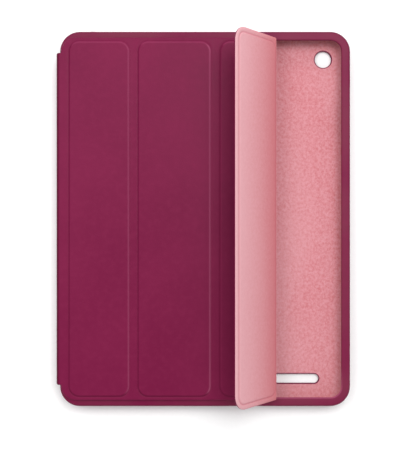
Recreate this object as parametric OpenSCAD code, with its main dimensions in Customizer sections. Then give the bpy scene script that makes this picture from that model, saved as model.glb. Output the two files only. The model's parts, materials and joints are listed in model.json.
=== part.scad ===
// Folio case for a slim tablet: a moulded back tray with a rolled lip, a spine strip down its left side,
// and a front cover of four stiffened leaves joined by soft folds. The case lies on its back, the tablet's
// long side runs along Y, the screen faces +Z, and the origin is the centre of the tray's back face.
// The fourth leaf is folded back over the third, so that its soft lining shows.

/* [Tablet] */
// Width of the tablet that the tray holds
tablet_w = 185.7; // [170:0.1:200]
// Length of the tablet
tablet_l = 241.2; // [225:0.1:260]
// Thickness of the tablet
tablet_t = 9.4; // [8.5:0.1:11]
// Slack between the tablet and the lining on each side
fit_gap = 0.2; // [0.1:0.05:0.4]

/* [Tray] */
// Thickness of the tray's outer skin
skin_t = 0.9; // [0.8:0.05:1.1]
// Thickness of the stiff core under the skin
core_t = 0.9; // [0.8:0.05:1.2]
// Thickness of the soft lining
lining_t = 0.45; // [0.3:0.05:0.6]
// Radius of the tray's corners, seen from the front
corner_r = 13; // [11:0.5:16]
// Radius along the back edge of the tray
edge_r = 4; // [3:0.25:4.5]
// Radius along the front edge of the tray
lip_edge_r = 1.6; // [1:0.1:1.8]
// Width of the lip that overlaps the tablet's face, measured from the outside
lip_w = 5.8; // [5:0.1:7]
// Width of the bead of skin that closes the lip's inner edge
bead_w = 1; // [0.8:0.1:1.4]
// Thickness of the core's flange inside the lip
flange_t = 0.7; // [0.5:0.05:1]

/* [Cut-outs] */
// Radius of the camera hole in the back
camera_r = 5.5; // [4.5:0.1:6.5]
// Distance of the camera hole from the tablet's top and right edges
camera_in = 14; // [12:0.5:18]
// Radius of the headphone plug hole
jack_r = 3.4; // [2.8:0.1:3.5]
// Distance of the headphone plug hole from the tablet's left edge
jack_in = 19; // [16:0.5:30]
// Radius of the microphone hole
mic_r = 1.2; // [0.8:0.1:1.6]
// Length of the dock plug slot
dock_l = 32; // [26:1:40]
// Length of the speaker slot in the back
speaker_l = 30; // [20:1:40]
// Length of the side switch slot
switch_l = 12; // [10:0.5:16]
// Width of the slots
slot_w = 6.2; // [5.5:0.1:6.6]

/* [Buttons] */
// Length of the power button's pad
power_l = 13; // [10:0.5:16]
// Length of the volume rocker's pad
volume_l = 23; // [18:0.5:26]
// Width of both pads
pad_w = 5; // [4:0.1:5.6]
// How far the pads stand out of the tray
pad_proud = 0.25; // [0.1:0.05:1]
// Gap round the pads
pad_gap = 0.3; // [0.25:0.05:0.4]

/* [Cover] */
// Gap between the closed cover and the tray's lip
cover_gap = 0.3; // [0.2:0.05:0.5]
// How far the cover stops short of the tray's top and bottom ends
cover_in = 4.4; // [2.5:0.1:5]
// How far the first leaf stops short of the tray's left side
leaf_1_in = 1; // [0.8:0.1:1.6]
// Widths of the four leaves, from fold centre to fold centre
leaf_w = [46.9, 54.1, 39.4, 46.6];
// Radius of the cover's corners
cover_r = 10; // [9:0.5:13]
// Thickness of the leaves' outer skin over the board
leaf_skin_t = 0.7; // [0.5:0.05:0.9]
// Thickness of the stiff board in each leaf
board_t = 0.8; // [0.6:0.05:1]
// Thickness of the soft lining of the leaves
leaf_lining_t = 0.6; // [0.4:0.05:0.8]
// Height of the raised field on each leaf
field_h = 0.4; // [0.3:0.05:0.6]
// Radius of the raised fields' corners
field_r = 6.3; // [4:0.1:8]
// Distance of the raised fields from the folds and from the cover's ends
field_in = 3.35; // [3:0.05:4]
// Distance of the first field from the spine side
field_1_in = 6.3; // [4:0.1:7]
// Distance of the fourth field from the free edge
field_4_in = 4; // [3.5:0.1:6]
// How far the fourth leaf is folded back from flat
flap_angle = 128.3; // [60:0.1:150]

/* [Folds and spine] */
// Width of each fold between two leaves
fold_w = 5; // [4.5:0.1:6]
// Thickness of the folds
fold_t = 1.1; // [0.9:0.05:1.2]
// Gap between a fold and the leaf that it turns against
fold_gap = 0.15; // [0.1:0.05:0.3]
// Gap between the spine and the side of the tray
spine_gap = 0.4; // [0.3:0.05:0.6]
// Height of the spine's lower and upper ends over the back face
spine_ends = [2, 13.2];
// Radius of the bend from the spine into the cover and into the back
spine_bend_r = 1.8; // [1.2:0.1:1.9]

/* [Magnets] */
// Length, width and spacing of the closing magnets along the free edge
magnet_size = [4.5, 20];
// Distance between the centres of neighbouring closing magnets
magnet_pitch = 34; // [26:0.5:36]
// Radius of the disc that wakes the tablet
wake_r = 3; // [2:0.1:4]
// Width and length of the steel strip in the first leaf
strip_size = [18, 200];

/* [Hidden] */
$fn = 72;

skin_colour = [0.53, 0.17, 0.30];
lining_colour = [0.89, 0.62, 0.66];
board_colour = [0.75, 0.73, 0.68];
core_colour = [0.25, 0.22, 0.24];
metal_colour = [0.72, 0.73, 0.75];

wall_t = skin_t + core_t + lining_t;
tray_w = tablet_w + 2 * (fit_gap + wall_t);
tray_l = tablet_l + 2 * (fit_gap + wall_t);
pocket_top = wall_t + tablet_t + fit_gap;
tray_h = pocket_top + flange_t + skin_t;

edge_z = pocket_top - 0.5 - slot_w / 2;
camera_at = [tablet_w / 2 - camera_in, tablet_l / 2 - camera_in];
jack_x = jack_in - tablet_w / 2;
speaker_at = [tablet_w / 2 - 32, 14 - tablet_l / 2];
switch_y = tablet_l / 2 - 30;
volume_y = switch_y - 26;
power_x = tablet_w / 2 - 24;

cover_l = tray_l - 2 * cover_in;
cover_z = tray_h + cover_gap;
leaf_t = leaf_lining_t + board_t + leaf_skin_t;
fold_axis_z = cover_z + leaf_t + field_h;
leaf_1_x = leaf_1_in - tray_w / 2;
fold_1_2_x = leaf_1_x + leaf_w[0];
fold_2_3_x = fold_1_2_x + leaf_w[1];
fold_3_4_x = fold_2_3_x + leaf_w[2];
free_edge_x = fold_3_4_x + leaf_w[3];

spine_in_x = -tray_w / 2 - spine_gap;
spine_out_x = spine_in_x - leaf_t;
spine_l = cover_l - 2 * cover_r;

magnet_x = free_edge_x - field_4_in - 2 - magnet_size[0] / 2;
magnet_steps = [-2.5, -1.5, -0.5, 0.5, 1.5, 2.5];
strip_x = leaf_1_x + field_1_in + 3 + strip_size[0] / 2;

// Points along an arc
function arc(centre, r, from, to, steps = 6) = [
  for (i = [0 : steps])
    let (a = from + (to - from) * i / steps)
    centre + r * [cos(a), sin(a)]
];

// Half section of a block that lies inside the tray's outer face by inset, counted outwards from the
// centre of the corner radius
function block_section(inset, top, top_r) = concat(
  [[0, inset]],
  arc([corner_r - edge_r, edge_r], edge_r - inset, -90, 0),
  top_r > 0 ? arc([corner_r - inset - top_r, top - top_r], top_r, 0, 90) : [[corner_r - inset, top]],
  [[0, top]]
);

// The section carried round the tray: two sides, two ends, four corners and the middle
module tray_block(inset, top, top_r = 0) {
  section = block_section(inset, top, top_r);
  half_x = tray_w / 2 - corner_r;
  half_y = tray_l / 2 - corner_r;
  translate([-half_x, -half_y, inset])
    cube([2 * half_x, 2 * half_y, top - inset]);
  for (turn = [0, 180])
    rotate([0, 0, turn]) {
      translate([half_x, half_y, 0])
        rotate([90, 0, 0])
          linear_extrude(2 * half_y)
            polygon(section);
      translate([-half_x, half_y, 0])
        rotate([90, 0, 90])
          linear_extrude(2 * half_x)
            polygon(section);
      translate([half_x, half_y, 0])
        rotate_extrude(angle = 90)
          polygon(section);
      translate([-half_x, half_y, 0])
        rotate([0, 0, 90])
          rotate_extrude(angle = 90)
            polygon(section);
    }
}

// Rectangle with its own radius at the left and at the right corners
module leaf_shape(x0, x1, l, r0, r1) {
  translate([x0 + r0, -l / 2])
    square([x1 - x0 - r0 - r1, l]);
  for (end = [[x0, r0, 1], [x1, r1, -1]])
    if (end[1] > 0) {
      translate([min(end[0], end[0] + end[2] * end[1]), end[1] - l / 2])
        square([end[1], l - 2 * end[1]]);
      for (side = [-1, 1])
        translate([end[0] + end[2] * end[1], side * (l / 2 - end[1])])
          circle(end[1]);
    }
}

// Straight-walled opening that lies inside the tray's outer face by inset
module tray_opening(inset, from, to) {
  half_w = tray_w / 2 - inset;
  translate([0, 0, from])
    linear_extrude(to - from)
      leaf_shape(-half_w, half_w, tray_l - 2 * inset, corner_r - inset, corner_r - inset);
}

module pill_shape(l, w) {
  square([l - w, w], center = true);
  for (end = [-1, 1])
    translate([end * (l - w) / 2, 0])
      circle(w / 2);
}

// Puts a flat shape on the middle of a wall and carries it through: top end, right side or back
module through_end(x, side) {
  translate([x, side * tray_l / 2, edge_z])
    rotate([90, 0, 0])
      linear_extrude(4 * wall_t, center = true)
        children();
}

module through_side(y) {
  translate([tray_w / 2, y, edge_z])
    rotate([90, 0, 90])
      linear_extrude(4 * wall_t, center = true)
        children();
}

module tray_cut_outs() {
  translate([camera_at[0], camera_at[1], -wall_t])
    cylinder(r = camera_r, h = 4 * wall_t);
  translate([jack_x, tray_l / 2 + wall_t, edge_z])
    rotate([90, 0, 0])
      cylinder(r = jack_r, h = 4 * wall_t);
  translate([0, tray_l / 2 + wall_t, edge_z])
    rotate([90, 0, 0])
      cylinder(r = mic_r, h = 4 * wall_t);
  translate([speaker_at[0], speaker_at[1], -wall_t])
    linear_extrude(4 * wall_t)
      pill_shape(speaker_l, slot_w);
  through_end(0, -1)
    pill_shape(dock_l, slot_w);
  through_side(switch_y)
    pill_shape(switch_l, slot_w);
  through_end(power_x, 1)
    pill_shape(power_l + 2 * pad_gap, pad_w + 2 * pad_gap);
  through_side(volume_y)
    pill_shape(volume_l + 2 * pad_gap, pad_w + 2 * pad_gap);
}

module tray_outer_skin() {
  color(skin_colour)
    difference() {
      tray_block(0, tray_h, lip_edge_r);
      tray_block(skin_t, pocket_top);
      difference() {
        tray_opening(skin_t, pocket_top - 1, pocket_top + flange_t);
        tray_opening(lip_w - bead_w, pocket_top - 2, tray_h);
      }
      tray_opening(lip_w, pocket_top - 1, tray_h + 1);
      tray_cut_outs();
    }
}

module tray_stiff_core() {
  color(core_colour)
    difference() {
      tray_block(skin_t, pocket_top + flange_t);
      tray_block(skin_t + core_t, pocket_top);
      tray_opening(lip_w - bead_w, pocket_top - 1, tray_h);
      tray_cut_outs();
    }
}

module tray_soft_lining() {
  color(lining_colour)
    difference() {
      tray_block(skin_t + core_t, pocket_top);
      tray_block(wall_t, pocket_top + 1);
      tray_cut_outs();
    }
}

module power_button_pad() {
  color(skin_colour)
    translate([power_x, tray_l / 2 + pad_proud, edge_z])
      rotate([90, 0, 0])
        linear_extrude(pad_proud + wall_t)
          pill_shape(power_l, pad_w);
}

module volume_rocker_pad() {
  color(skin_colour)
    translate([tray_w / 2 - wall_t, volume_y, edge_z])
      rotate([90, 0, 90])
        linear_extrude(pad_proud + wall_t)
          pill_shape(volume_l, pad_w);
}

// A leaf's field, which is also the outline of its board: x from, x to
function leaf_field(n) = [
  n == 1 ? leaf_1_x + field_1_in : leaf_from(n) - fold_w / 2 + field_in,
  n == 4 ? free_edge_x - field_4_in : leaf_to(n) + fold_w / 2 - field_in
];
function leaf_from(n) = n == 1 ? leaf_1_x : [fold_1_2_x, fold_2_3_x, fold_3_4_x][n - 2] + fold_w / 2;
function leaf_to(n) = n == 4 ? free_edge_x : [fold_1_2_x, fold_2_3_x, fold_3_4_x][n - 1] - fold_w / 2;

// Puts a leaf where it lies: leaves 1 to 3 flat on the tray, leaf 4 turned back about its fold
module leaf_place(n) {
  turn = n == 4 ? flap_angle : 0;
  translate([fold_3_4_x, 0, fold_axis_z])
    rotate([0, -turn, 0])
      translate([-fold_3_4_x, 0, cover_z - fold_axis_z])
        children();
}

module leaf_outline(n) {
  leaf_shape(leaf_from(n), leaf_to(n), cover_l, n == 1 ? cover_r : 0, n == 4 ? cover_r : 0);
}

module field_outline(n) {
  field = leaf_field(n);
  leaf_shape(field[0], field[1], cover_l - 2 * field_in, field_r, field_r);
}

module leaf_outer_skin(n) {
  color(skin_colour)
    leaf_place(n) {
      difference() {
        translate([0, 0, leaf_lining_t])
          linear_extrude(leaf_t - leaf_lining_t)
            leaf_outline(n);
        linear_extrude(leaf_lining_t + board_t)
          field_outline(n);
      }
      translate([0, 0, leaf_lining_t + board_t])
        linear_extrude(leaf_skin_t + field_h)
          field_outline(n);
    }
}

module leaf_board(n) {
  color(board_colour)
    leaf_place(n)
      difference() {
        translate([0, 0, leaf_lining_t])
          linear_extrude(board_t)
            field_outline(n);
        if (n == 1)
          linear_extrude(leaf_t)
            strip_outline();
        if (n == 4)
          linear_extrude(leaf_t) {
            magnet_outlines();
            wake_outline();
          }
      }
}

module leaf_soft_lining(n) {
  color(lining_colour)
    leaf_place(n)
      linear_extrude(leaf_lining_t)
        leaf_outline(n);
}

module strip_outline() {
  translate([strip_x, 0])
    square(strip_size, center = true);
}

module magnet_outlines() {
  for (step = magnet_steps)
    translate([magnet_x, step * magnet_pitch])
      square(magnet_size, center = true);
}

module wake_outline() {
  translate([magnet_x - magnet_size[0] - wake_r, 0])
    circle(wake_r);
}

// Metal set into the board of a leaf, flush with both of the board's faces
module set_in_board(n) {
  color(metal_colour)
    leaf_place(n)
      translate([0, 0, leaf_lining_t])
        linear_extrude(board_t)
          children();
}

module stand_steel_strip() {
  set_in_board(1)
    strip_outline();
}

module closing_magnets() {
  set_in_board(4)
    magnet_outlines();
}

module wake_magnet() {
  set_in_board(4)
    wake_outline();
}

module fold_box(from, to) {
  translate([from, -cover_l / 2, 0])
    cube([to - from, cover_l, fold_t]);
}

module flat_fold(x) {
  color(skin_colour)
    leaf_place(1)
      fold_box(x - fold_w / 2, x + fold_w / 2 - fold_gap);
}

// Carries a section, drawn from the front end, along the case's length
module along_case(l) {
  color(skin_colour)
    rotate([90, 0, 0])
      linear_extrude(l, center = true)
        children();
}

// The fold of the turned-back leaf: an arc about the fold's axis between two short straights
module bent_fold() {
  axis = [fold_3_4_x, fold_axis_z];
  outer_r = fold_axis_z - cover_z;
  inner_r = outer_r - fold_t;
  end = flap_angle - 90;
  straight = (fold_w / 2 - fold_gap) * [cos(flap_angle), sin(flap_angle)];
  along_case(cover_l)
    polygon(concat(
      [axis - [fold_w / 2, outer_r]],
      arc(axis, outer_r, -90, end, 16),
      [axis + outer_r * [cos(end), sin(end)] + straight],
      [axis + inner_r * [cos(end), sin(end)] + straight],
      arc(axis, inner_r, end, -90, 16),
      [axis - [fold_w / 2, inner_r]]
    ));
}

// Turns a leaf's layers upright, with their outer side to the left of the tray
module spine_place() {
  translate([spine_in_x, 0, 0])
    rotate([0, -90, 0])
      children();
}

module spine_board_outline() {
  leaf_shape(spine_ends[0] + 1, spine_ends[1] - 1, spine_l - 6, 1, 1);
}

module spine_outer_skin() {
  color(skin_colour)
    spine_place()
      difference() {
        translate([0, 0, leaf_lining_t])
          linear_extrude(leaf_t - leaf_lining_t)
            leaf_shape(spine_ends[0], spine_ends[1], spine_l, 0, 0);
        linear_extrude(leaf_lining_t + board_t)
          spine_board_outline();
      }
}

module spine_board() {
  color(board_colour)
    spine_place()
      translate([0, 0, leaf_lining_t])
        linear_extrude(board_t)
          spine_board_outline();
}

module spine_soft_lining() {
  color(lining_colour)
    spine_place()
      linear_extrude(leaf_lining_t)
        leaf_shape(spine_ends[0], spine_ends[1], spine_l, 0, 0);
}

// From the top of the spine round into the first leaf
module spine_to_cover_fold() {
  r = spine_bend_r;
  top = cover_z + leaf_t;
  along_case(spine_l)
    polygon(concat(
      [[spine_in_x, spine_ends[1]], [spine_in_x, cover_z], [leaf_1_x - fold_gap, cover_z]],
      [[leaf_1_x - fold_gap, top]],
      arc([spine_out_x + r, top - r], r, 90, 180),
      [[spine_out_x, spine_ends[1]]]
    ));
}

// From the foot of the spine round under the tray's back edge
module spine_to_tray_fold() {
  r = spine_bend_r;
  edge_at = [edge_r - tray_w / 2, edge_r];
  along_case(spine_l)
    polygon(concat(
      [[spine_in_x, spine_ends[0] - fold_gap], [spine_out_x, spine_ends[0] - fold_gap]],
      arc([spine_out_x + r, r], r, 180, 270),
      arc(edge_at, edge_r, 248, 215, 3)
    ));
}

tray_outer_skin();
tray_stiff_core();
tray_soft_lining();
power_button_pad();
volume_rocker_pad();
spine_outer_skin();
spine_board();
spine_soft_lining();
spine_to_tray_fold();
spine_to_cover_fold();
leaf_outer_skin(1);  // leaf_1_outer_skin
leaf_board(1);  // leaf_1_board
leaf_soft_lining(1);  // leaf_1_soft_lining
stand_steel_strip();
flat_fold(fold_1_2_x);  // fold_1_2
leaf_outer_skin(2);  // leaf_2_outer_skin
leaf_board(2);  // leaf_2_board
leaf_soft_lining(2);  // leaf_2_soft_lining
flat_fold(fold_2_3_x);  // fold_2_3
leaf_outer_skin(3);  // leaf_3_outer_skin
leaf_board(3);  // leaf_3_board
leaf_soft_lining(3);  // leaf_3_soft_lining
bent_fold();  // fold_3_4
leaf_outer_skin(4);  // leaf_4_outer_skin
leaf_board(4);  // leaf_4_board
leaf_soft_lining(4);  // leaf_4_soft_lining
closing_magnets();
wake_magnet();
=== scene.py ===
"""The tablet case's looks: skins, linings, folds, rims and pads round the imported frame, with floor, light and camera.

Lengths are in millimetres until a mesh is made, in the frame's own axes: the tray's back face lies at z 0, the
tablet's long side runs along Y, and the cover's spine is on the left.
"""

import json
import math
from collections import namedtuple

import bmesh
import bpy
import numpy as np
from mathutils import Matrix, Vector


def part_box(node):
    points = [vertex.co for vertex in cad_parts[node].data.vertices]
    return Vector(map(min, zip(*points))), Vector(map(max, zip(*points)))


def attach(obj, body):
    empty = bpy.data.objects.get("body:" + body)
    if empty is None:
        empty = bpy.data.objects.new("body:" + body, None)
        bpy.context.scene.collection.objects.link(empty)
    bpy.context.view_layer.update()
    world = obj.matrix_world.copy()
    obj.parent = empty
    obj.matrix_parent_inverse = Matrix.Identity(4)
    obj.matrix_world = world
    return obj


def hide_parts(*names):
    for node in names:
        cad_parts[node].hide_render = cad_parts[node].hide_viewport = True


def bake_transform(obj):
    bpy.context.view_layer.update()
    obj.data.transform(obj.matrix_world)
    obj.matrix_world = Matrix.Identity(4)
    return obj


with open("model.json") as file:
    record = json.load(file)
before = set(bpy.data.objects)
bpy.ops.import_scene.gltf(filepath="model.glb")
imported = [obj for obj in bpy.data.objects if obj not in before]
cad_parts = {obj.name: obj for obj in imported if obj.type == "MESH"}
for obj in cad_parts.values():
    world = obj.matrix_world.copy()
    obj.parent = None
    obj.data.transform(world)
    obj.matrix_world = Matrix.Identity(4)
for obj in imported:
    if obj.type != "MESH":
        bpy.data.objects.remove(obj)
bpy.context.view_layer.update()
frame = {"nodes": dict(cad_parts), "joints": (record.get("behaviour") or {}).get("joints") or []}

MM = 0.001


def box_mm(node):
    """Lowest and highest corner of a CAD node, in millimetres."""
    lo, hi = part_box(node)
    return np.array(lo) / MM, np.array(hi) / MM


# ---------------------------------------------------------------- camera, light and floor

# The camera's place, its distance from the closed cover, and how much of that level the view's long side covers
CAMERA_AT = (0.94, -3.97, 591.0)
COVER_DISTANCE = 575.0
SEEN_LENGTH = 293.9
FLOOR_SIZE = 6000.0
FLOOR_Z = -0.1
SKY_STRENGTH = 0.60

# Where each lamp stands and how wide and how high it is, in metres, and its power in watts
LAMPS = {
    "key": ((0.24, 0.32, 1.00), (0.60, 0.50), 5.8),
    "left_panel": ((-0.60, 0.34, 1.00), (0.80, 0.70), 4.8),
    "right_strip": ((1.20, 0.10, 0.75), (1.40, 0.30), 1.2),
    "top_strip": ((0.10, 1.20, 0.75), (1.40, 0.30), 3.2),
}


def add_camera():
    """Looks straight down on the case."""
    lens = bpy.data.cameras.new("camera")
    lens.angle = 2 * math.atan(SEEN_LENGTH / 2 / COVER_DISTANCE)
    lens.clip_start = 0.01
    camera = bpy.data.objects.new("camera", lens)
    camera.location = Vector(CAMERA_AT) * MM
    bpy.context.scene.collection.objects.link(camera)
    bpy.context.scene.camera = camera


def add_area_light(name, at, size, power):
    lamp = bpy.data.lights.new(name, "AREA")
    lamp.shape = "RECTANGLE"
    lamp.size, lamp.size_y = size
    lamp.energy = power
    light = bpy.data.objects.new(name, lamp)
    light.location = at
    light.rotation_euler = (-Vector(at)).to_track_quat("-Z", "Y").to_euler()
    bpy.context.scene.collection.objects.link(light)


def add_sky():
    world = bpy.data.worlds.new("studio")
    world.use_nodes = True
    world.node_tree.nodes["Background"].inputs["Color"].default_value = (1, 1, 1, 1)
    world.node_tree.nodes["Background"].inputs["Strength"].default_value = SKY_STRENGTH
    bpy.context.scene.world = world


# ---------------------------------------------------------------- materials


class Nodes:
    """Short calls for building one material's node tree."""

    def __init__(self, name):
        self.material = bpy.data.materials.new(name)
        self.material.use_nodes = True
        self.tree = self.material.node_tree
        self.shader = self.tree.nodes["Principled BSDF"]
        self.place = self.tree.nodes.new("ShaderNodeTexCoord").outputs["Object"]

    def link(self, a, b):
        self.tree.links.new(a, b)

    def noise(self, scale, detail=4.0, rough=0.55, stretch=None):
        """Noise with that many features a metre; stretch squeezes it along the three axes."""
        node = self.tree.nodes.new("ShaderNodeTexNoise")
        node.inputs["Scale"].default_value = scale
        node.inputs["Detail"].default_value = detail
        node.inputs["Roughness"].default_value = rough
        self.link(self.stretched(stretch), node.inputs["Vector"])
        return node.outputs["Fac"]

    def cells(self, scale):
        """Distance to the middle of the nearest of that many cells a metre."""
        node = self.tree.nodes.new("ShaderNodeTexVoronoi")
        node.inputs["Scale"].default_value = scale
        self.link(self.place, node.inputs["Vector"])
        return node.outputs["Distance"]

    def stretched(self, stretch):
        if stretch is None:
            return self.place
        node = self.tree.nodes.new("ShaderNodeMapping")
        node.inputs["Scale"].default_value = stretch
        self.link(self.place, node.inputs["Vector"])
        return node.outputs["Vector"]

    def carried(self, name):
        """A value that the mesh carries at its points; 0 where it carries none."""
        node = self.tree.nodes.new("ShaderNodeAttribute")
        node.attribute_name = name
        return node.outputs["Fac"]

    def along(self, direction):
        """How far each point lies along a direction, in metres."""
        node = self.tree.nodes.new("ShaderNodeVectorMath")
        node.operation = "DOT_PRODUCT"
        node.inputs[1].default_value = direction
        self.link(self.place, node.inputs[0])
        return node.outputs["Value"]

    def spread(self, value, low, high, to_low, to_high):
        """Maps value from low..high to to_low..to_high."""
        node = self.tree.nodes.new("ShaderNodeMapRange")
        self.link(value, node.inputs["Value"])
        for socket, number in zip(("From Min", "From Max", "To Min", "To Max"), (low, high, to_low, to_high)):
            node.inputs[socket].default_value = number
        return node.outputs["Result"]

    def sum(self, a, b, share):
        """a plus share of b."""
        node = self.tree.nodes.new("ShaderNodeMath")
        node.operation = "MULTIPLY_ADD"
        self.link(b, node.inputs[0])
        node.inputs[1].default_value = share
        self.link(a, node.inputs[2])
        return node.outputs[0]

    def blend(self, share, a, b):
        """Colour a at share 0, b at 1; each is a colour or a socket."""
        node = self.tree.nodes.new("ShaderNodeMix")
        node.data_type = "RGBA"
        self.link(share, node.inputs["Factor"])
        for socket, colour in ((node.inputs[6], a), (node.inputs[7], b)):
            if isinstance(colour, tuple):
                socket.default_value = (*colour, 1)
            else:
                self.link(colour, socket)
        return node.outputs[2]

    def finish(self, colour, rough, bump, strength, depth, **values):
        """Wires up colour, roughness and bump, and sets plain numbers on the shader's own sockets."""
        self.link(colour, self.shader.inputs["Base Color"])
        self.link(rough, self.shader.inputs["Roughness"])
        node = self.tree.nodes.new("ShaderNodeBump")
        node.inputs["Strength"].default_value = strength
        node.inputs["Distance"].default_value = depth
        self.link(bump, node.inputs["Height"])
        self.link(node.outputs["Normal"], self.shader.inputs["Normal"])
        for socket, number in values.items():
            self.shader.inputs[socket.replace("_", " ")].default_value = number
        return self.material


def leather(name, tone, worn, deep, painted_highlight, pressed_and_shade):
    """Fine-grained polyurethane: pebbles about a millimetre across, pores between them and worn high spots.

    A mesh may carry two values that paint light into the colour: a paler painted highlight on shoulders and edges,
    and painted shade at the pinched feet of shoulders and on edges that turn from the light.
    """
    n = Nodes(name)
    pebbles = n.cells(950)
    pores = n.noise(2600, 5, 0.6)
    cloud = n.noise(22, 3, 0.5)
    mottle = n.noise(240, 4, 0.6)
    colour = n.blend(n.spread(cloud, 0.35, 0.65, 0, 1), deep, tone)
    colour = n.blend(n.spread(mottle, 0.45, 0.75, 0, 0.30), colour, worn)
    colour = n.blend(n.spread(pebbles, 0.0, 0.5, 0.0, 0.22), colour, deep)
    # Painted highlight, where the mesh carries it
    colour = n.blend(n.carried("painted_highlight"), colour, painted_highlight)
    # Painted shade, where the mesh carries it
    colour = n.blend(n.carried("pressed_and_shade"), colour, pressed_and_shade)
    rough = n.spread(n.sum(cloud, mottle, 0.6), 0.4, 1.2, 0.36, 0.48)
    return n.finish(colour, rough, n.sum(pores, pebbles, -0.8), 0.25, 0.0001, Specular_IOR_Level=0.10)


def microfibre(name, tone, pale, deep, pressed_and_shade, fades=None):
    """Brushed suede: short fibres, a nap that lies lighter and darker in patches, and a soft sheen.

    Where a mesh carries the pressed value, the pile is flattened and darker, partly as painted shade of its groove.
    fades is a direction and two distances along it: the cloth is deeper with painted shade before the first and paler
    with a painted sheen past the second.
    """
    n = Nodes(name)
    fibres = n.noise(1500, 6, 0.7, (1.0, 0.55, 1.0))
    tufts = n.noise(520, 4, 0.65)
    nap = n.noise(26, 3, 0.55, (1.0, 0.4, 1.0))
    colour = n.blend(n.spread(tufts, 0.36, 0.64, 0, 1), deep, tone)
    colour = n.blend(n.spread(fibres, 0.42, 0.72, 0, 0.50), colour, pale)
    colour = n.blend(n.spread(nap, 0.40, 0.66, 0, 0.25), colour, pale)
    if fades:
        direction, near, far = fades
        # Painted shade towards the fold, then painted sheen towards the free edge
        across = n.along(direction)
        colour = n.blend(n.spread(across, near, far, 0.85, 0), colour, deep)
        colour = n.blend(n.spread(across, near, far, 0, 0.85), colour, pale)
    # Pressed pile, darker, partly the painted shade of the pressed groove
    colour = n.blend(n.carried("pressed_and_shade"), colour, pressed_and_shade)
    rough = n.spread(fibres, 0.3, 0.7, 0.82, 0.96)
    return n.finish(colour, rough, n.sum(fibres, tufts, 0.7), 0.45, 0.0002, Specular_IOR_Level=0.2,
                    Sheen_Weight=0.08, Sheen_Roughness=0.45, Sheen_Tint=(0.85, 0.45, 0.50, 1.0))


def pressed_sheet(name, tone, deep):
    """Glass-fibre sheet: long pressed fibres and a faint crossing grid."""
    n = Nodes(name)
    fibres = n.noise(900, 5, 0.6, (1.0, 0.12, 1.0))
    cross = n.noise(900, 5, 0.6, (0.12, 1.0, 1.0))
    both = n.sum(fibres, cross, 0.8)
    colour = n.blend(n.spread(both, 0.6, 1.2, 0, 1), deep, tone)
    return n.finish(colour, n.spread(both, 0.6, 1.2, 0.6, 0.85), both, 0.3, 0.0001)


def moulded_plastic(name, tone, deep):
    """Matte moulding with a spark-eroded grain and faint flow marks."""
    n = Nodes(name)
    grain = n.noise(3200, 3, 0.6)
    flow = n.noise(60, 3, 0.5, (1.0, 0.3, 1.0))
    colour = n.blend(n.spread(flow, 0.35, 0.65, 0, 1), deep, tone)
    return n.finish(colour, n.spread(grain, 0.3, 0.7, 0.5, 0.75), grain, 0.25, 0.00008)


def metal(name, tone, deep, stretch, low_rough, high_rough):
    """Rolled or plated metal with fine lines along its rolling direction."""
    n = Nodes(name)
    lines = n.noise(1400, 4, 0.6, stretch)
    stain = n.noise(90, 3, 0.5)
    colour = n.blend(n.spread(n.sum(lines, stain, 0.6), 0.5, 1.1, 0, 1), deep, tone)
    return n.finish(colour, n.spread(lines, 0.3, 0.7, low_rough, high_rough), lines, 0.2, 0.00004, Metallic=1.0)


def studio_floor():
    """Pale matte sheet with a barely seen tooth."""
    n = Nodes("studio_floor")
    tooth = n.noise(400, 3, 0.5)
    colour = n.blend(n.spread(tooth, 0.3, 0.7, 0, 1), (0.94, 0.94, 0.94), (0.96, 0.96, 0.96))
    return n.finish(colour, n.spread(tooth, 0.3, 0.7, 0.85, 0.95), tooth, 0.05, 0.0001, Specular_IOR_Level=0.1)


# Leather colours: the main tone, worn, deep, a painted highlight and a painted shade
WINE = (
    (0.176, 0.0080, 0.0490),
    (0.222, 0.0160, 0.0660),
    (0.154, 0.0055, 0.0420),
    (0.360, 0.0750, 0.1550),
    (0.095, 0.0010, 0.0220),
)
TRAY_WINE = (0.171, 0.0235, 0.0530), *WINE[1:]
# Microfibre colours: the main tone, pale, deep, and the pressed line's darker pile, partly painted shade of its groove
PINK = (0.604, 0.245, 0.278), (0.670, 0.366, 0.400), (0.518, 0.148, 0.168), (0.462, 0.103, 0.142)

SKIN = leather("wine_polyurethane", *WINE)
TRAY_SKIN = leather("wine_polyurethane_tray", *TRAY_WINE)
LINING = microfibre("pink_microfibre", *PINK)
BOARD = pressed_sheet("pressed_board", (0.52, 0.49, 0.42), (0.38, 0.35, 0.29))
CORE = moulded_plastic("core_plastic", (0.050, 0.045, 0.050), (0.030, 0.026, 0.030))
STEEL = metal("rolled_steel", (0.50, 0.51, 0.53), (0.36, 0.37, 0.39), (1.0, 0.03, 1.0), 0.30, 0.45)
NICKEL = metal("nickel_plate", (0.62, 0.62, 0.63), (0.50, 0.50, 0.52), (0.5, 0.5, 0.5), 0.12, 0.24)

# ---------------------------------------------------------------- flat outlines

SHARP = 0.02
CORNER_STEPS = 10
LONG_STEPS = 20
SHORT_STEPS = 6
NEAR_CORNER = (0.3, 0.8, 1.6, 3.2)

# A rectangle centred on y 0: its left and right x, half its length, its left and its right corner radius
Outline = namedtuple("Outline", "x0 x1 half r0 r1")


def inset(o, d):
    """The outline moved inwards by d, or outwards where d is below 0."""
    return Outline(o.x0 + d, o.x1 - d, o.half - d, max(o.r0 - d, SHARP), max(o.r1 - d, SHARP))


def between(a, b, share):
    return Outline(*(p + (q - p) * share for p, q in zip(a, b)))


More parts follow.
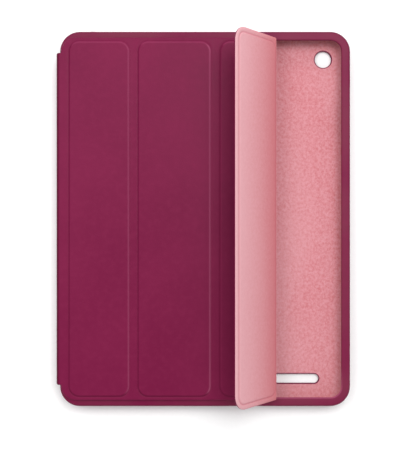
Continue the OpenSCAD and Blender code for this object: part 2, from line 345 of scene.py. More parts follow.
def outline_points(o):
    """The outline as one closed loop, counterclockwise from its lower right corner, always with as many points."""
    corners = (
        (o.x1 - o.r1, o.r1 - o.half, o.r1, -90),
        (o.x1 - o.r1, o.half - o.r1, o.r1, 0),
        (o.x0 + o.r0, o.half - o.r0, o.r0, 90),
        (o.x0 + o.r0, o.r0 - o.half, o.r0, 180),
    )
    arcs = []
    for x, y, r, start in corners:
        a = np.radians(np.linspace(start, start + 90, CORNER_STEPS + 1))
        arcs.append(np.stack([x + r * np.cos(a), y + r * np.sin(a)], 1))
    loop = []
    for i, arc in enumerate(arcs):
        loop.append(arc)
        span = arcs[(i + 1) % 4][0] - arc[-1]
        loop.append(arc[-1] + span * side_steps(np.linalg.norm(span), (LONG_STEPS, SHORT_STEPS)[i % 2])[:, None])
    return np.concatenate(loop)


def side_steps(length, steps):
    """Shares of a straight side at which it has points: close together next to its corners."""
    near = np.minimum(np.array(NEAR_CORNER) / length, np.linspace(0.05, 0.2, len(NEAR_CORNER)))
    middle = np.linspace(near[-1], 1 - near[-1], steps + 1)[1:-1]
    return np.concatenate([near, middle, 1 - near[::-1]])


def depth_inside(o, x, y):
    """How far each point lies inside the outline; below 0 outside it."""
    middle = (o.x0 + o.x1) / 2
    r = np.where(x < middle, o.r0, o.r1)
    past_x = np.abs(x - middle) - (o.x1 - o.x0) / 2 + r
    past_y = np.abs(y) - o.half + r
    outside = np.hypot(np.maximum(past_x, 0), np.maximum(past_y, 0))
    return r - np.minimum(np.maximum(past_x, past_y), 0) - outside


def smooth_step(t):
    t = np.clip(t, 0, 1)
    return t * t * (3 - 2 * t)


def bell(distance, width):
    return np.exp(-((distance / width) ** 2))


def quarter_round(t):
    """1 at t 0, falling along a quarter circle to 0 at t 1."""
    t = np.clip(t, 0, 1)
    return 1 - np.sqrt(np.maximum(1 - (1 - t) ** 2, 0))


# ---------------------------------------------------------------- meshes

SMOOTH_UP_TO = math.radians(42)


def add_mesh(name, points, faces, material):
    mesh = bpy.data.meshes.new(name)
    mesh.from_pydata((np.asarray(points, float) * MM).tolist(), [], faces)
    made = bmesh.new()
    made.from_mesh(mesh)
    bmesh.ops.recalc_face_normals(made, faces=made.faces)
    made.to_mesh(mesh)
    made.free()
    piece = bpy.data.objects.new(name, mesh)
    bpy.context.scene.collection.objects.link(piece)
    finish_mesh(piece, material)
    return piece


def finish_mesh(piece, material):
    """Smooth shading with sharp folds kept, and the material."""
    piece.data.shade_smooth()
    piece.data.set_sharp_from_angle(angle=SMOOTH_UP_TO)
    piece.data.materials.clear()
    piece.data.materials.append(material)


def loft(name, rings, material, closed=False):
    """Skins a row of loops that all have as many points; the two ends are capped unless the row closes on itself."""
    count = len(rings[0])
    faces = []
    for row in range(len(rings) if closed else len(rings) - 1):
        a, b = row * count, (row + 1) % len(rings) * count
        faces += [(a + i, a + (i + 1) % count, b + (i + 1) % count, b + i) for i in range(count)]
    if not closed:
        last = (len(rings) - 1) * count
        faces += [tuple(range(count))[::-1], tuple(range(last, last + count))]
    return add_mesh(name, np.concatenate(rings), faces, material)


def ring_at(o, height):
    """An outline lifted to a height, which is a number or a function of x and y."""
    flat = outline_points(o)
    z = height(flat[:, 0], flat[:, 1]) if callable(height) else np.full(len(flat), float(height))
    return np.column_stack([flat, z])


# ---------------------------------------------------------------- the cover's leaves

FIELD_RISE = 0.40
FIELD_FULLNESS = 0.18
FIELD_CROWN = 0.10
FIELD_R = 6.3
FIELD_FROM_END = 3.1
# How far each leaf's field stops short of the hinge or edge to its left and to its right
FIELD_SIDES = {1: (5.8, 2.55), 2: (4.0, 3.4), 3: (3.5, 3.8), 4: (3.8, 4.4)}
SHOULDER = 1.2
CROWN_WIDTH = 14.0
# The pinched line at the foot of a shoulder: how deep, how far out in shoulder widths, and how wide
FOOT_DEPTH = 0.14
FOOT_OUT = 0.62
FOOT_WIDTH = 0.28
COVER_R = 10.0
SKIN_EDGE_R = 0.9
# How far each fold reaches from its hinge to its left and to its right, short of the shoulders beside it
FOLD_REACH = {1: (1.3, 2.5), 2: (2.1, 2.2), 3: (2.5, 2.5)}
PARTING = 0.95
SEAM = 0.05
LINING_RISE = 0.30
LINING_EDGE = 1.9
LINING_FIELD_R = 5.0
LINING_FIELD_FROM_FREE = 3.6
LINING_FIELD_FROM_END = 3.8
LINING_FIELD_FROM_FOLD = 1.4
LINING_SHOULDER_OUT = 0.5
LINING_LINE_DEPTH = 0.20
LINING_LINE_WIDTH = 0.6
FOLD_UNDERSIDE = LINING_RISE + SEAM

skin_lo, skin_hi = box_mm("leaf_1_outer_skin")
board_lo, board_hi = box_mm("leaf_1_board")
COVER_Z = box_mm("leaf_1_soft_lining")[0][2]
COVER_HALF = skin_hi[1]
BOARD_BOTTOM = board_lo[2] - COVER_Z
BOARD_TOP = board_hi[2] - COVER_Z
LEAF_TOP = skin_hi[2] - COVER_Z - FIELD_RISE

# Where the hinges between the leaves lie, and how far the last leaf is turned back from the flat cover
JOINTS = {j["name"]: j for j in frame["joints"]}
FOLD_X = [JOINTS[f"fold_{n}_{n + 1}_hinge"]["pos_m"][0] / MM for n in (1, 2, 3)]
FLAP_AXIS = np.array(JOINTS["fold_3_4_hinge"]["pos_m"]) / MM
FLAP_TURN = math.radians(JOINTS["fold_3_4_hinge"]["range_deg"][1])

# The turned-back leaf: the way it points from its hinge, its width, where along that way it starts, and how far
# from its start the painted shade on its lining begins to give way to a painted sheen
FLAP_WAY = (math.cos(FLAP_TURN), 0.0, math.sin(FLAP_TURN))
FLAP_WIDTH = 46.6
FLAP_START = float(np.dot(FLAP_AXIS, FLAP_WAY))
FLAP_PAINTED_FADE_FROM = 4.0
FLAP_LINING = microfibre("pink_microfibre_flap", *PINK,
                         fades=(FLAP_WAY, (FLAP_START + FLAP_PAINTED_FADE_FROM) * MM, (FLAP_START + FLAP_WIDTH) * MM))


def turned_back(points, angle=FLAP_TURN):
    """Turns points from the flat cover about the last fold's axis, up and over to the left."""
    x = points[:, 0] - FLAP_AXIS[0]
    z = points[:, 2] - FLAP_AXIS[2]
    turned = points.copy()
    turned[:, 0] = FLAP_AXIS[0] + x * math.cos(angle) - z * math.sin(angle)
    turned[:, 2] = FLAP_AXIS[2] + x * math.sin(angle) + z * math.cos(angle)
    return turned


def on_tray(points):
    """Lifts points of the flat cover to its place on the tray's lip."""
    return points + np.array([0, 0, COVER_Z])


# The turned-back leaf is this much shorter at its fold than at its free edge, at either end, and its free edge is
# shifted this much towards the tray's top end
FLAP_WAIST = 1.0
FLAP_LEAN = 0.3


def on_flap(points):
    """Places points of the flat last leaf on the turned-back one."""
    drawn = points.copy()
    to_edge = np.clip((points[:, 0] - FOLD_X[2] - FOLD_REACH[3][1]) / FLAP_WIDTH, 0, 1)
    drawn[:, 1] *= 1 - FLAP_WAIST / COVER_HALF * (1 - to_edge)
    drawn[:, 1] += FLAP_LEAN * to_edge
    return turned_back(on_tray(drawn))


# The spine's outer face lies this much further in than the CAD's
SPINE_SLIM = 0.4
spine_lo, spine_hi = box_mm("spine_outer_skin")
SPINE_INNER_X = box_mm("spine_soft_lining")[1][0]
SPINE_OUTER_X = spine_lo[0] + SPINE_SLIM
SPINE_FIELD_FROM_END = 3.0


def upright(points):
    """Stands a flat strip up at the spine, its outer side to the left."""
    share = (SPINE_INNER_X - SPINE_OUTER_X) / LEAF_TOP
    return np.column_stack([SPINE_INNER_X - points[:, 2] * share, points[:, 1], points[:, 0]])


# One stiffened leaf: its outline, its raised field outside and inside, and which of its sides a fold joins
Leaf = namedtuple("Leaf", "body outline field lining_field joined_left joined_right rise place cloth")


def cover_leaves():
    """The cover's four leaves, all as if they lay flat, from the spine to the free edge."""
    flap_node = frame["nodes"]["leaf_4_soft_lining"]
    corners = np.array([v.co for v in flap_node.data.vertices]) / MM
    free_edge = turned_back(corners, -FLAP_TURN)[:, 0].max()
    edges = [skin_lo[0], *FOLD_X, free_edge]
    leaves = []
    for n in (1, 2, 3, 4):
        first, last = n == 1, n == 4
        x0 = edges[n - 1] + (0 if first else FOLD_REACH[n - 1][1])
        x1 = edges[n] - (0 if last else FOLD_REACH[n][0])
        outline = Outline(x0, x1, COVER_HALF, COVER_R if first else SHARP, COVER_R if last else SHARP)
        left, right = FIELD_SIDES[n]
        field = Outline(edges[n - 1] + left, edges[n] - right, COVER_HALF - FIELD_FROM_END, FIELD_R, FIELD_R)
        lining_field = Outline(
            x0 + (LINING_FIELD_FROM_FREE if first else LINING_FIELD_FROM_FOLD),
            x1 - (LINING_FIELD_FROM_FREE if last else LINING_FIELD_FROM_FOLD),
            COVER_HALF - LINING_FIELD_FROM_END, LINING_FIELD_R, LINING_FIELD_R)
        leaves.append(Leaf(f"leaf_{n}", outline, field, lining_field, True, not last, FIELD_RISE,
                           on_flap if last else on_tray, FLAP_LINING if last else LINING))
    return leaves


def spine_leaf():
    """The spine as a narrow leaf with no raised field, its flat x running up the side of the tray."""
    half = spine_hi[1]
    outline = Outline(spine_lo[2], spine_hi[2], half, SHARP, SHARP)
    field = inset(outline, 1.0)._replace(half=half - SPINE_FIELD_FROM_END, r0=1.0, r1=1.0)
    return Leaf("spine", outline, field, field, True, True, 0.0, upright, LINING)


def depth_from_free_edge(leaf, x, y):
    """How far a point lies inside the leaf's free edges: its ends, its round corners and a side with no fold."""
    o = leaf.outline
    depth = o.half - np.abs(y)
    for from_side, r, joined in ((x - o.x0, o.r0, leaf.joined_left), (o.x1 - x, o.r1, leaf.joined_right)):
        past = r - from_side
        beyond = np.abs(y) - (o.half - r)
        in_corner = (past > 0) & (beyond > 0) & (r > SHARP)
        corner = r - np.hypot(np.maximum(past, 0), np.maximum(beyond, 0))
        depth = np.where(in_corner, np.minimum(depth, corner), depth)
        if not joined:
            depth = np.where(in_corner, depth, np.minimum(depth, from_side))
        elif r > SHARP:
            to_arc_end = np.hypot(from_side, np.minimum(beyond, 0))
            depth = np.where(beyond <= 0, np.minimum(depth, to_arc_end), depth)
    return depth


def depth_from_fold(leaf, x):
    """How far a point lies from the nearest side that a fold joins."""
    depth = np.full_like(x, np.inf)
    if leaf.joined_left:
        depth = np.minimum(depth, x - leaf.outline.x0)
    if leaf.joined_right:
        depth = np.minimum(depth, leaf.outline.x1 - x)
    return depth


def skin_height(leaf):
    """Height of a leaf's outer skin: a rounded edge, a pinched foot, and a raised, slightly crowned field."""
    def height(x, y):
        free = depth_from_free_edge(leaf, x, y)
        into = depth_inside(leaf.field, x, y)
        share = leaf.rise / FIELD_RISE
        foot = FOOT_DEPTH * share * bell(into + SHOULDER * FOOT_OUT, FOOT_WIDTH)
        rise = share * (FIELD_RISE + FIELD_FULLNESS) * smooth_step(into / SHOULDER + 0.5)
        rise += FIELD_CROWN * share * smooth_step(into / CROWN_WIDTH)
        return LEAF_TOP - SKIN_EDGE_R * quarter_round(free / SKIN_EDGE_R) - foot + rise
    return height


def lining_height(leaf):
    """Height of a leaf's soft underside: edges rolled up to the parting line, a pressed line and a raised field."""
    def height(x, y):
        free = depth_from_free_edge(leaf, x, y)
        into = depth_inside(leaf.lining_field, x, y)
        border = LINING_RISE * (1 - smooth_step(into + LINING_SHOULDER_OUT))
        # The pressed line's groove itself, a dip in the surface
        pressed_and_shade = LINING_LINE_DEPTH * bell(into + LINING_SHOULDER_OUT, LINING_LINE_WIDTH)
        edge = (PARTING - SEAM - LINING_RISE) * quarter_round(free / LINING_EDGE)
        fold_edge = SEAM * quarter_round(depth_from_fold(leaf, x) / LINING_EDGE)
        return border + pressed_and_shade + edge + np.where(free < LINING_EDGE, 0, fold_edge)
    return height


# How far inside the edge, and how far inside the field's outline, a leaf has a ring of points
EDGE_STEPS = (0.02, 0.10, 0.24, 0.42, 0.65, 0.9, 1.3, 2.2)
SHOULDER_STEPS = (-1.2, -0.95, -0.74, -0.6, -0.45, -0.25, 0.0, 0.25, 0.45, 0.6, 0.9, 1.6, 3.0, 6.0, 10.0)
LINING_EDGE_STEPS = (0.05, 0.2, 0.45, 0.8, 1.3, 1.9, 2.4)
LINING_SHOULDER_STEPS = (-1.2, -0.95, -0.75, -0.6, -0.45, -0.3, -0.1, 0.1, 0.35, 0.6, 1.0, 2.0, 5.0, 9.0)


def outer_rings(outline, field, height, edge_steps, shoulder_steps):
    """From the outline over its rounded edge, up the field's shoulder and in to the field's middle."""
    foot = inset(field, shoulder_steps[0])
    reach = outline.half - foot.half
    room = (field.x1 - field.x0) / 2 - 1
    return [
        ring_at(outline, height),
        *(ring_at(between(outline, foot, e / reach), height) for e in edge_steps if e < reach),
        *(ring_at(inset(field, s), height) for s in shoulder_steps if s < room),
    ]


def skin_rings(leaf):
    """From the middle of the skin's inner face out to the seam, up over the edge and in to the field's middle."""
    o, f = leaf.outline, leaf.field
    under = BOARD_TOP + SEAM
    rings = [ring_at(inset(f, 2.0), under), ring_at(f, under), ring_at(between(o, f, 0.7), PARTING)]
    rings += [ring_at(between(o, f, 0.04), PARTING), ring_at(o, PARTING + 0.12)]
    return rings + outer_rings(o, f, skin_height(leaf), EDGE_STEPS, SHOULDER_STEPS)


def lining_rings(leaf):
    """From the middle of the lining's glued face out to the seam, down over the edge and in to its soft middle."""
    o, f = leaf.outline, leaf.field
    glued, seam = BOARD_BOTTOM - SEAM, PARTING - SEAM
    rings = [ring_at(inset(f, 2.0), glued), ring_at(f, glued)]
    rings += [ring_at(between(o, f, 0.7), seam), ring_at(between(o, f, 0.04), seam)]
    return rings + outer_rings(o, leaf.lining_field, lining_height(leaf), LINING_EDGE_STEPS, LINING_SHOULDER_STEPS)


# How strongly the right shoulders carry a painted highlight, then the upper ones, and how far inside the field's
# outline;
# then the same for the painted shade at the feet of the other shoulders and for the lining's pressed line, partly
# painted shade, which lie outside the outline.
# CORNER_BLEND is the stretch round a corner over which one side's mark turns into the next side's.
HIGHLIGHT_SHARE = {"leaf_1": 0.46, "leaf_2": 0.95, "leaf_3": 0.44, "leaf_4": 0.44}
HIGHLIGHT_TOP_SHARE = 0.28
HIGHLIGHT_INTO, HIGHLIGHT_WIDTH = 0.05, 0.45
FOOT_SHADE_SHARE = 0.45
FOOT_SHADE_OUT, FOOT_SHADE_WIDTH = 0.5, 0.5
LINING_PRESSED_SHARE = 0.46
LINING_PRESSED_OUT, LINING_PRESSED_WIDTH = 0.45, 0.5
CORNER_BLEND = 6.0


def mark(piece, name, share):
    """Lets a mesh carry a value, one number a point."""
    piece.data.attributes.new(name, "FLOAT", "POINT").data.foreach_set("value", share.astype(np.float32))


def mark_skin(skin, leaf, flat):
    """Paints a highlight on the crest of the field's right and upper shoulders, and shade at the foot of the other two.
    """
    f, x, y = leaf.field, flat[:, 0], flat[:, 1]
    into = depth_inside(f, x, y)
    from_right, from_top = f.x1 - x, f.half - y
    nearest = np.minimum(from_right, from_top)
    right_or_top = smooth_step(0.5 + (np.minimum(x - f.x0, y + f.half) - nearest) / CORNER_BLEND)
    right = smooth_step(0.5 + (from_top - from_right) / CORNER_BLEND)
    side_share = HIGHLIGHT_TOP_SHARE + (HIGHLIGHT_SHARE[leaf.body] - HIGHLIGHT_TOP_SHARE) * right
    mark(skin, "painted_highlight", side_share * right_or_top * bell(into - HIGHLIGHT_INTO, HIGHLIGHT_WIDTH))
    mark(skin, "pressed_and_shade", FOOT_SHADE_SHARE * (1 - right_or_top) * bell(into + FOOT_SHADE_OUT, FOOT_SHADE_WIDTH))


def mark_lining(lining, leaf, flat):
    """Marks the line round the lining's field as pressed: darker pile, partly the painted shade of its groove."""
    into = depth_inside(leaf.lining_field, flat[:, 0], flat[:, 1])
    mark(lining, "pressed_and_shade", LINING_PRESSED_SHARE * bell(into + LINING_PRESSED_OUT, LINING_PRESSED_WIDTH))


# Painted shade on the bend at the spine, where it rolls away from the light: the width that is fully shaded, the width
# over which it fades, and how far down it goes
SPINE_BEND_FULL = 0.7
SPINE_BEND_WIDTH = 2.2
SPINE_BEND_DEPTH = 2.6


def mark_spine_bend(skin):
    """Paints shade on what a skin has of the stretched outer side of the bend between the spine and the cover."""
    points = np.array([v.co for v in skin.data.vertices]) / MM
    from_edge = (points[:, 0] - SPINE_OUTER_X - SPINE_BEND_FULL) / SPINE_BEND_WIDTH
    below = (spine_hi[2] - points[:, 2]) / SPINE_BEND_DEPTH
    mark(skin, "pressed_and_shade", (1 - smooth_step(from_edge)) * (1 - smooth_step(below)))


def add_leaf(leaf):
    """A leaf's outer skin and its soft lining."""
    flat, flat_lining = skin_rings(leaf), lining_rings(leaf)
    skin = loft(f"{leaf.body}_skin", [leaf.place(r) for r in flat], SKIN)
    lining = loft(f"{leaf.body}_lining", [leaf.place(r) for r in flat_lining], leaf.cloth)
    if leaf.rise:
        # Painted highlight and shade on the skin; the pressed line, partly painted shade, on the lining
        mark_skin(skin, leaf, np.concatenate(flat))
        mark_lining(lining, leaf, np.concatenate(flat_lining))
    else:
        # Painted shade on the spine's bend
        mark_spine_bend(skin)
    for piece, node, slot in ((skin, "outer_skin", "cover_skin"), (lining, "soft_lining", "soft_lining")):
        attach(piece, leaf.body)
        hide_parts(f"{leaf.body}_{node}")


# ---------------------------------------------------------------- the folds between the leaves

FOLD_STEPS = 18
ROW_STEP = 8.0
# How much further a fold's ends are drawn in at its crest, as a share of its waist
FOLD_NIP = 0.7
SKIN_SHARE = (LEAF_TOP - PARTING) / (LEAF_TOP - FOLD_UNDERSIDE)
# A fold's lining: how far behind the seam its glued face lies, and how far its ends roll up to it
LINING_BACK = 0.01
LINING_EDGE_SHARE = 0.92


def bezier(p, t):
    """Points on the curve of four control points."""
    p = np.asarray(p, float)
    t = t[:, None]
    return p[0] * (1 - t) ** 3 + 3 * p[1] * t * (1 - t) ** 2 + 3 * p[2] * t * t * (1 - t) + p[3] * t ** 3


def fold_rows(half):
    """Where the rows of a fold lie along Y: close together where its ends are rounded."""
    near = [half - e for e in (0.0, *EDGE_STEPS)]
    middle = np.linspace(near[-1], -near[-1], int(2 * near[-1] / ROW_STEP) + 2)[1:-1]
    return np.concatenate([near, middle, [-y for y in near[::-1]]])


def fold_sheets(name, outer, inner, half, waist):
    """The skin and the lining of one fold, between an outer and an inner curve in the XZ plane.

    Towards its second end the fold gets shorter by waist at either end.
    """
    t = np.linspace(0, 1, FOLD_STEPS + 1)
    outer, inner = bezier(outer, t), bezier(inner, t)
    seam = outer + (inner - outer) * SKIN_SHARE
    inwards = (inner - outer) / np.linalg.norm(inner - outer, axis=1)[:, None]
    skin_back, lining_back = seam - inwards * SEAM, seam + inwards * LINING_BACK
    shorter = waist * (smooth_step(2 * t) + FOLD_NIP * np.sin(np.pi * t) ** 4)
    drawn_in = 1 - np.concatenate([shorter, shorter[::-1]]) / half
    skin_rows, lining_rows = [], []
    for y in fold_rows(half):
        free = half - abs(y)
        top = outer + inwards * SKIN_EDGE_R * quarter_round(free / SKIN_EDGE_R)
        bottom = inner + (seam - inner) * LINING_EDGE_SHARE * quarter_round(free / LINING_EDGE)
        for rows, face, back in ((skin_rows, top, skin_back), (lining_rows, bottom, lining_back)):
            loop = np.concatenate([face, back[::-1]])
            rows.append(np.column_stack([loop[:, 0], y * drawn_in, loop[:, 1]]))
    return loft(f"{name}_skin", skin_rows, SKIN), loft(f"{name}_lining", lining_rows, LINING)


def add_fold(name, node, outer, inner, half, waist=0.0):
    """A fold's skin and lining, drawn in the XZ plane and baked in place, with the CAD node it stands for hidden.

    outer and inner are the control points of its outer and inner face in that plane.
    """
    skin, lining = fold_sheets(name, outer, inner, half, waist)
    # Painted shade on the spine's bend; folds away from it get none
    mark_spine_bend(skin)
    for piece, slot in ((skin, "cover_skin"), (lining, "soft_lining")):
        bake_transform(piece)
    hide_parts(node)


def straight(a, b, dip):
    """Control points of a straight line from a to b whose middle dips by about dip."""
    a, b = np.array(a), np.array(b)
    down = np.array([0, -dip * 4 / 3])
    return [a, a + (b - a) / 3 + down, b - (b - a) / 3 + down, b]


def add_flat_fold(n):
    """The fold between leaves n and n + 1 where both lie flat."""
    left, right = FOLD_X[n - 1] - FOLD_REACH[n][0], FOLD_X[n - 1] + FOLD_REACH[n][1]
    top, under = COVER_Z + LEAF_TOP, COVER_Z + FOLD_UNDERSIDE
    add_fold(
        f"fold_{n}_{n + 1}", f"fold_{n}_{n + 1}",
        straight((left, top), (right, top), 0.05), straight((left, under), (right, under), -0.10),
        COVER_HALF)


# How far the turned fold's sheets run straight on from leaf 3, and back from leaf 4: so far that both pass close
# to the hinge axis
CREASE_OUTER = 2.3, 2.5
CREASE_INNER = 2.3, 0.8


def creased(level, ahead, back):
    """Control points of a curve that leaves leaf 3 at a level and meets the turned leaf 4."""
    left, right = FOLD_X[2] - FOLD_REACH[3][0], FOLD_X[2] + FOLD_REACH[3][1]
    start = np.array([left, level])
    end = turned_back(np.array([[right, 0, level]]))[0, (0, 2)]
    along = np.array(FLAP_WAY)[[0, 2]]
    return [start, start + (ahead, 0), end - back * along, end]


def add_turned_fold():
    """The fold of the turned-back leaf, creased tight on its outer side and rolled on its soft side."""
    outer = creased(COVER_Z + LEAF_TOP, *CREASE_OUTER)
    inner = creased(COVER_Z + FOLD_UNDERSIDE, *CREASE_INNER)
    add_fold("fold_3_4", "fold_3_4", outer, inner, COVER_HALF,
             waist=FLAP_WAIST)


# How much further than the CAD's the fold to the tray reaches in under the tray's back
OVER_TRAY_BACK = 1.2


def add_spine_folds():
    """The soft bends from the spine into the first leaf and under the tray's back edge."""
    outer_x, inner_x = SPINE_OUTER_X, SPINE_INNER_X - FOLD_UNDERSIDE
    half, low, high = spine_hi[1], spine_lo[2], spine_hi[2]
    leaf_x, top, under = skin_lo[0], COVER_Z + LEAF_TOP, COVER_Z + FOLD_UNDERSIDE
    add_fold(
        "spine_to_cover", "spine_to_cover_fold",
        [(outer_x, high), (outer_x, high + 1.5), (outer_x + 1.5, top), (leaf_x, top)],
        [(inner_x, high), (inner_x, high + 0.6), (inner_x + 0.5, under), (leaf_x, under)],
        half)
    back_x = box_mm("spine_to_tray_fold")[1][0] + OVER_TRAY_BACK
    add_fold(
        "spine_to_tray", "spine_to_tray_fold",
        [(back_x, 0.0), (outer_x + 2.4, 0.0), (outer_x, 0.2), (outer_x, low)],
        [(back_x, 0.03), (back_x - 1.9, 0.25), (inner_x + 0.4, 1.0), (inner_x, low)],
        half)


# ---------------------------------------------------------------- the tray

LIP_WIDTH = 5.8
# How far the lip rises in its middle, and its share of that at three distances from the outer edge
LIP_CROWN = 0.07
LIP_CROWN_AT = ((2.3, 0.7), (3.4, 1.0), (4.6, 0.6))
LIP_EDGE_R = 1.6
LIP_INNER_R = 0.75
BACK_EDGE_R = 4.0
TRAY_R = 13.0
BACK_CORNER = (BACK_EDGE_R, BACK_EDGE_R)
SKIN_T = 0.85
BEAD_WIDTH = 1.0
WALL_T = 2.25
LINING_T = 0.35
# How far in from the outline the flat back and floor of the tray have rings of points
FLAT_RINGS = (60, 20, 8)

tray_lo, tray_hi = box_mm("tray_outer_skin")
TRAY = Outline(tray_lo[0], tray_hi[0], tray_hi[1], TRAY_R, TRAY_R)
TRAY_TOP = tray_hi[2]
CORE_TOP = box_mm("tray_stiff_core")[1][2]
POCKET_TOP = box_mm("tray_soft_lining")[1][2]


def quarter(centre, r, start, end, steps):
    """(inset, z) points on an arc; the angle is 0 outwards and 90 upwards."""
    angles = np.radians(np.linspace(start, end, steps + 1))
    return [(centre[0] - r * math.cos(a), centre[1] + r * math.sin(a)) for a in angles]


def tray_skin_section():
    """(inset, z) pairs from the middle of the inner face, round the outside, over the lip and back inside."""
    back = [(d, 0) for d in (*FLAT_RINGS, BACK_EDGE_R + 0.8)]
    back_edge = quarter(BACK_CORNER, BACK_EDGE_R, -90, 0, 9)
    side = [(0, BACK_EDGE_R + 0.6), (0, TRAY_TOP - LIP_EDGE_R - 0.4)]
    lip_edge = quarter((LIP_EDGE_R, TRAY_TOP - LIP_EDGE_R), LIP_EDGE_R, 0, 90, 7)
    lip = [(d, TRAY_TOP + LIP_CROWN * share) for d, share in LIP_CROWN_AT]
    inner_edge = quarter((LIP_WIDTH - LIP_INNER_R, TRAY_TOP - LIP_INNER_R), LIP_INNER_R, 90, 180, 6)
    under = [(LIP_WIDTH, POCKET_TOP + 0.25), (LIP_WIDTH - 0.2, POCKET_TOP + 0.02)]
    under.append((LIP_WIDTH - BEAD_WIDTH + 0.1, POCKET_TOP))
    inside_top = CORE_TOP + SEAM
    inside = [(LIP_WIDTH - BEAD_WIDTH, inside_top), (SKIN_T, inside_top), (SKIN_T, BACK_EDGE_R)]
    inside += quarter(BACK_CORNER, BACK_EDGE_R - SKIN_T, 0, -90, 5)[1:] + [(FLAT_RINGS[0], SKIN_T)]
    return back + back_edge + side + lip_edge + lip + inner_edge + under + inside


def tray_lining_section():
    """(inset, z) pairs from the middle of the soft floor out, up the wall, over its top and back underneath."""
    glued = WALL_T - LINING_T
    floor = [(d, WALL_T) for d in (*FLAT_RINGS, BACK_EDGE_R + 0.5)]
    bend = quarter(BACK_CORNER, BACK_EDGE_R - WALL_T, -90, 0, 6)
    top = [(WALL_T, POCKET_TOP - 0.2), (WALL_T - 0.06, POCKET_TOP - 0.05), (WALL_T - 0.2, POCKET_TOP)]
    outside = [(glued, POCKET_TOP - 0.05), (glued, BACK_EDGE_R)]
    outside += quarter(BACK_CORNER, BACK_EDGE_R - glued, 0, -90, 5)[1:] + [(FLAT_RINGS[0], glued)]
    return floor + bend + top + outside


def tray_rings(section):
    return [ring_at(inset(TRAY, d), z) for d, z in section]


# A wall of the tray as a cut-out needs it: a point on its outer face, the way along, the way across and outwards
Wall = namedtuple("Wall", "origin along across outwards")
BACK = Wall((0, 0, 0), (1, 0, 0), (0, 1, 0), (0, 0, -1))
TOP_END = Wall((0, tray_hi[1], 0), (1, 0, 0), (0, 0, 1), (0, 1, 0))
BOTTOM_END = Wall((0, tray_lo[1], 0), (1, 0, 0), (0, 0, 1), (0, -1, 0))
RIGHT_SIDE = Wall((tray_hi[0], 0, 0), (0, 1, 0), (0, 0, 1), (1, 0, 0))

EDGE_Z = 8.25
SLOT_WIDTH = 6.2
PAD_GAP = 0.3

# A pill-shaped cut-out: its wall, its centre along and across the wall, its length and its width
CutOut = namedtuple("CutOut", "name wall at length width")


def pad_cut_out(name, node, wall, axis):
    lo, hi = box_mm(node)
    middle = (lo + hi) / 2
    size = hi - lo
    return CutOut(name, wall, (middle[axis], middle[2]), size[axis] + 2 * PAD_GAP, size[2] + 2 * PAD_GAP)


CUT_OUTS = [
    CutOut("camera_rim", BACK, (78.85, 106.6), 11.0, 11.0),
    CutOut("speaker_rim", BACK, (60.85, -106.6), 30.0, SLOT_WIDTH),
    CutOut("headphone_rim", TOP_END, (-73.85, EDGE_Z), 6.8, 6.8),
    CutOut("microphone_rim", TOP_END, (0.0, EDGE_Z), 2.4, 2.4),
    CutOut("dock_rim", BOTTOM_END, (0.0, EDGE_Z), 32.0, SLOT_WIDTH),
    CutOut("side_switch_rim", RIGHT_SIDE, (90.6, EDGE_Z), 12.0, SLOT_WIDTH),
    pad_cut_out("power_button_rim", "power_button_pad", TOP_END, 0),
    pad_cut_out("volume_rocker_rim", "volume_rocker_pad", RIGHT_SIDE, 1),
]


PILL_STEPS = 16


def pill_loop(length, width, grow):
    """A pill or a circle grown by grow on every side, as a closed loop of (along, across)."""
    r = width / 2 + grow
    reach = (length - width) / 2
    loop = []
    for side, start in ((1, -90), (-1, 90)):
        a = np.radians(np.linspace(start, start + 180, PILL_STEPS + 1))
        loop.append(np.stack([side * reach + r * np.cos(a), r * np.sin(a)], 1))
    return np.concatenate(loop)


def on_wall(cut, loop, out):
    """A flat loop placed on a cut-out's wall, out from the wall's face by a number or by one number a point."""
    wall = cut.wall
    origin, along, across, outwards = (np.array(v, float) for v in wall)
    out = np.broadcast_to(out, len(loop))[:, None]
    return origin + along * (cut.at[0] + loop[:, :1]) + across * (cut.at[1] + loop[:, 1:]) + outwards * out


RIM_CUT = 0.35
CUT_DEPTHS = (-4.0, 1.5)


def cut(piece, cut_outs):
    """Cuts the pill shapes through a tray shell, a little larger than the rims that finish them."""
    material = piece.data.materials[0]
    cutters = []
    for c in cut_outs:
        loop = pill_loop(c.length, c.width, RIM_CUT)
        if c.length == c.width:
            loop = np.delete(loop, len(loop) // 2, 0)[:-1]
        cutters.append(loft("cutter", [on_wall(c, loop, d) for d in CUT_DEPTHS], material))
    for cutter in cutters:
        tool = piece.modifiers.new("cut", "BOOLEAN")
        tool.operation = "DIFFERENCE"
        tool.solver = "EXACT"
        tool.object = cutter
    bpy.context.view_layer.update()
    done = bpy.data.meshes.new_from_object(piece.evaluated_get(bpy.context.evaluated_depsgraph_get()))
    piece.modifiers.clear()
    piece.data = done
    for cutter in cutters:
        bpy.data.objects.remove(cutter)
    finish_mesh(piece, material)


# (how far outside the opening, how far out from the wall's face) round a rim's section
RIM_SECTION = [
    (0.80, -0.12), (0.74, 0.01), (0.55, 0.06), (0.36, 0.04), (0.18, -0.05), (0.06, -0.20), (0.0, -0.42),
    (0.0, -1.2), (0.0, -2.05), (0.08, -2.24), (0.30, -2.30), (0.62, -2.27), (0.70, -2.15), (0.36, -1.9),
    (0.36, -0.5),
]


def add_rim(c):
    """The skin turned in round a cut-out, from the outer face through to the soft lining."""
    grown = [pill_loop(c.length, c.width, g) for g, _ in RIM_SECTION]
    if c.length == c.width:
        grown = [np.delete(loop, len(loop) // 2, 0)[:-1] for loop in grown]
    rings = [on_wall(c, loop, out) for loop, (_, out) in zip(grown, RIM_SECTION)]
    rim = loft(c.name, rings, TRAY_SKIN, closed=True)
    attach(rim, "tray")


# (how far inside the pad's outline, how far out from the wall's face), from the pad's foot to its top
PAD_SECTION = [
    (0, -2.2), (0, -1.0), (0, -0.2), (0.05, -0.03), (0.16, 0.11), (0.32, 0.21), (0.55, 0.25), (1.1, 0.25),
    (1.9, 0.25),
]
DISH_WIDTH = 0.22


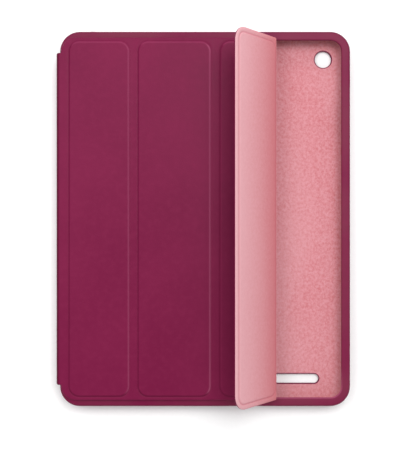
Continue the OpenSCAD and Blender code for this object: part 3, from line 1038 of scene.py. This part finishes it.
def add_pad(name, node, body, dish):
    """A button pad with a rounded rim and a top that sinks by dish in its middle."""
    c = next(c for c in CUT_OUTS if c.name == f"{name}_rim")
    length, width = c.length - 2 * PAD_GAP, c.width - 2 * PAD_GAP
    rings = []
    for grow, out in PAD_SECTION:
        loop = pill_loop(length, width, -grow)
        sunk = dish * bell(loop[:, 0], DISH_WIDTH * length) * smooth_step((out + 0.05) / 0.3)
        rings.append(on_wall(c, loop, out - sunk))
    pad = loft(name, rings, TRAY_SKIN)
    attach(pad, body)
    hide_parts(node)


# Painted highlight on the lip's inner edge at the tray's bottom end: its share, how far from the inner edge, how wide,
# and the y over which it comes in; then the share of painted shade on the lip's outer edge
LIP_HIGHLIGHT_SHARE = 0.9
LIP_HIGHLIGHT_FROM_EDGE = 0.15
LIP_HIGHLIGHT_WIDTH = 0.32
LIP_HIGHLIGHT_Y = (-96.0, -114.0)
LIP_EDGE_SHADE_SHARE = 0.22


def mark_lip(skin):
    """Paints a highlight on the lip's inner edge at the tray's bottom end, and a little shade on its outer edge."""
    x, y, z = (np.array([v.co for v in skin.data.vertices]) / MM).T
    into = depth_inside(TRAY, x, y)
    upper = smooth_step((z - POCKET_TOP) / (TRAY_TOP - LIP_INNER_R - POCKET_TOP))
    at_bottom = smooth_step((y - LIP_HIGHLIGHT_Y[0]) / (LIP_HIGHLIGHT_Y[1] - LIP_HIGHLIGHT_Y[0]))
    inner_edge = bell(into - LIP_WIDTH + LIP_HIGHLIGHT_FROM_EDGE, LIP_HIGHLIGHT_WIDTH)
    mark(skin, "painted_highlight", LIP_HIGHLIGHT_SHARE * inner_edge * at_bottom * upper)
    mark(skin, "pressed_and_shade", LIP_EDGE_SHADE_SHARE * upper * (1 - smooth_step(into / LIP_EDGE_R)))


def add_tray():
    """The tray's skin and lining with their cut-outs, the rims round these, and the two button pads."""
    skin = loft("tray_skin", tray_rings(tray_skin_section()), TRAY_SKIN)
    lining = loft("tray_lining", tray_rings(tray_lining_section()), LINING)
    for piece, node, slot in ((skin, "tray_outer_skin", "tray_skin"), (lining, "tray_soft_lining", "soft_lining")):
        cut(piece, CUT_OUTS)
        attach(piece, "tray")
        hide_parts(node)
    # Painted highlight and shade on the lip
    mark_lip(skin)
    for c in CUT_OUTS:
        add_rim(c)
    add_pad("power_button", "power_button_pad", "power_button", 0.12)
    add_pad("volume_rocker", "volume_rocker_pad", "volume_rocker", 0.3)


# ---------------------------------------------------------------- the hard parts that stay as the frame made them

KEPT_NODES = {
    "tray_stiff_core": CORE,
    "stand_steel_strip": STEEL,
    "closing_magnets": NICKEL,
    "wake_magnet": NICKEL,
    "spine_board": BOARD,
    "leaf_1_board": BOARD,
    "leaf_2_board": BOARD,
    "leaf_3_board": BOARD,
    "leaf_4_board": BOARD,
}


def finish_kept_nodes():
    """Gives the nodes that no visual piece replaces their materials."""
    for name, material in KEPT_NODES.items():
        mesh = frame["nodes"][name].data
        mesh.materials.clear()
        mesh.materials.append(material)


def add_floor():
    half = FLOOR_SIZE / 2
    corners = [(x, y, FLOOR_Z) for x, y in ((-half, -half), (half, -half), (half, half), (-half, half))]
    add_mesh("floor", corners, [(0, 1, 2, 3)], studio_floor())


add_camera()
add_sky()
for lamp, settings in LAMPS.items():
    add_area_light(lamp, *settings)
bpy.context.scene.view_settings.view_transform = "Standard"

add_tray()
for leaf in cover_leaves():
    add_leaf(leaf)
add_leaf(spine_leaf())
add_flat_fold(1)
add_flat_fold(2)
add_turned_fold()
add_spine_folds()
finish_kept_nodes()
add_floor()
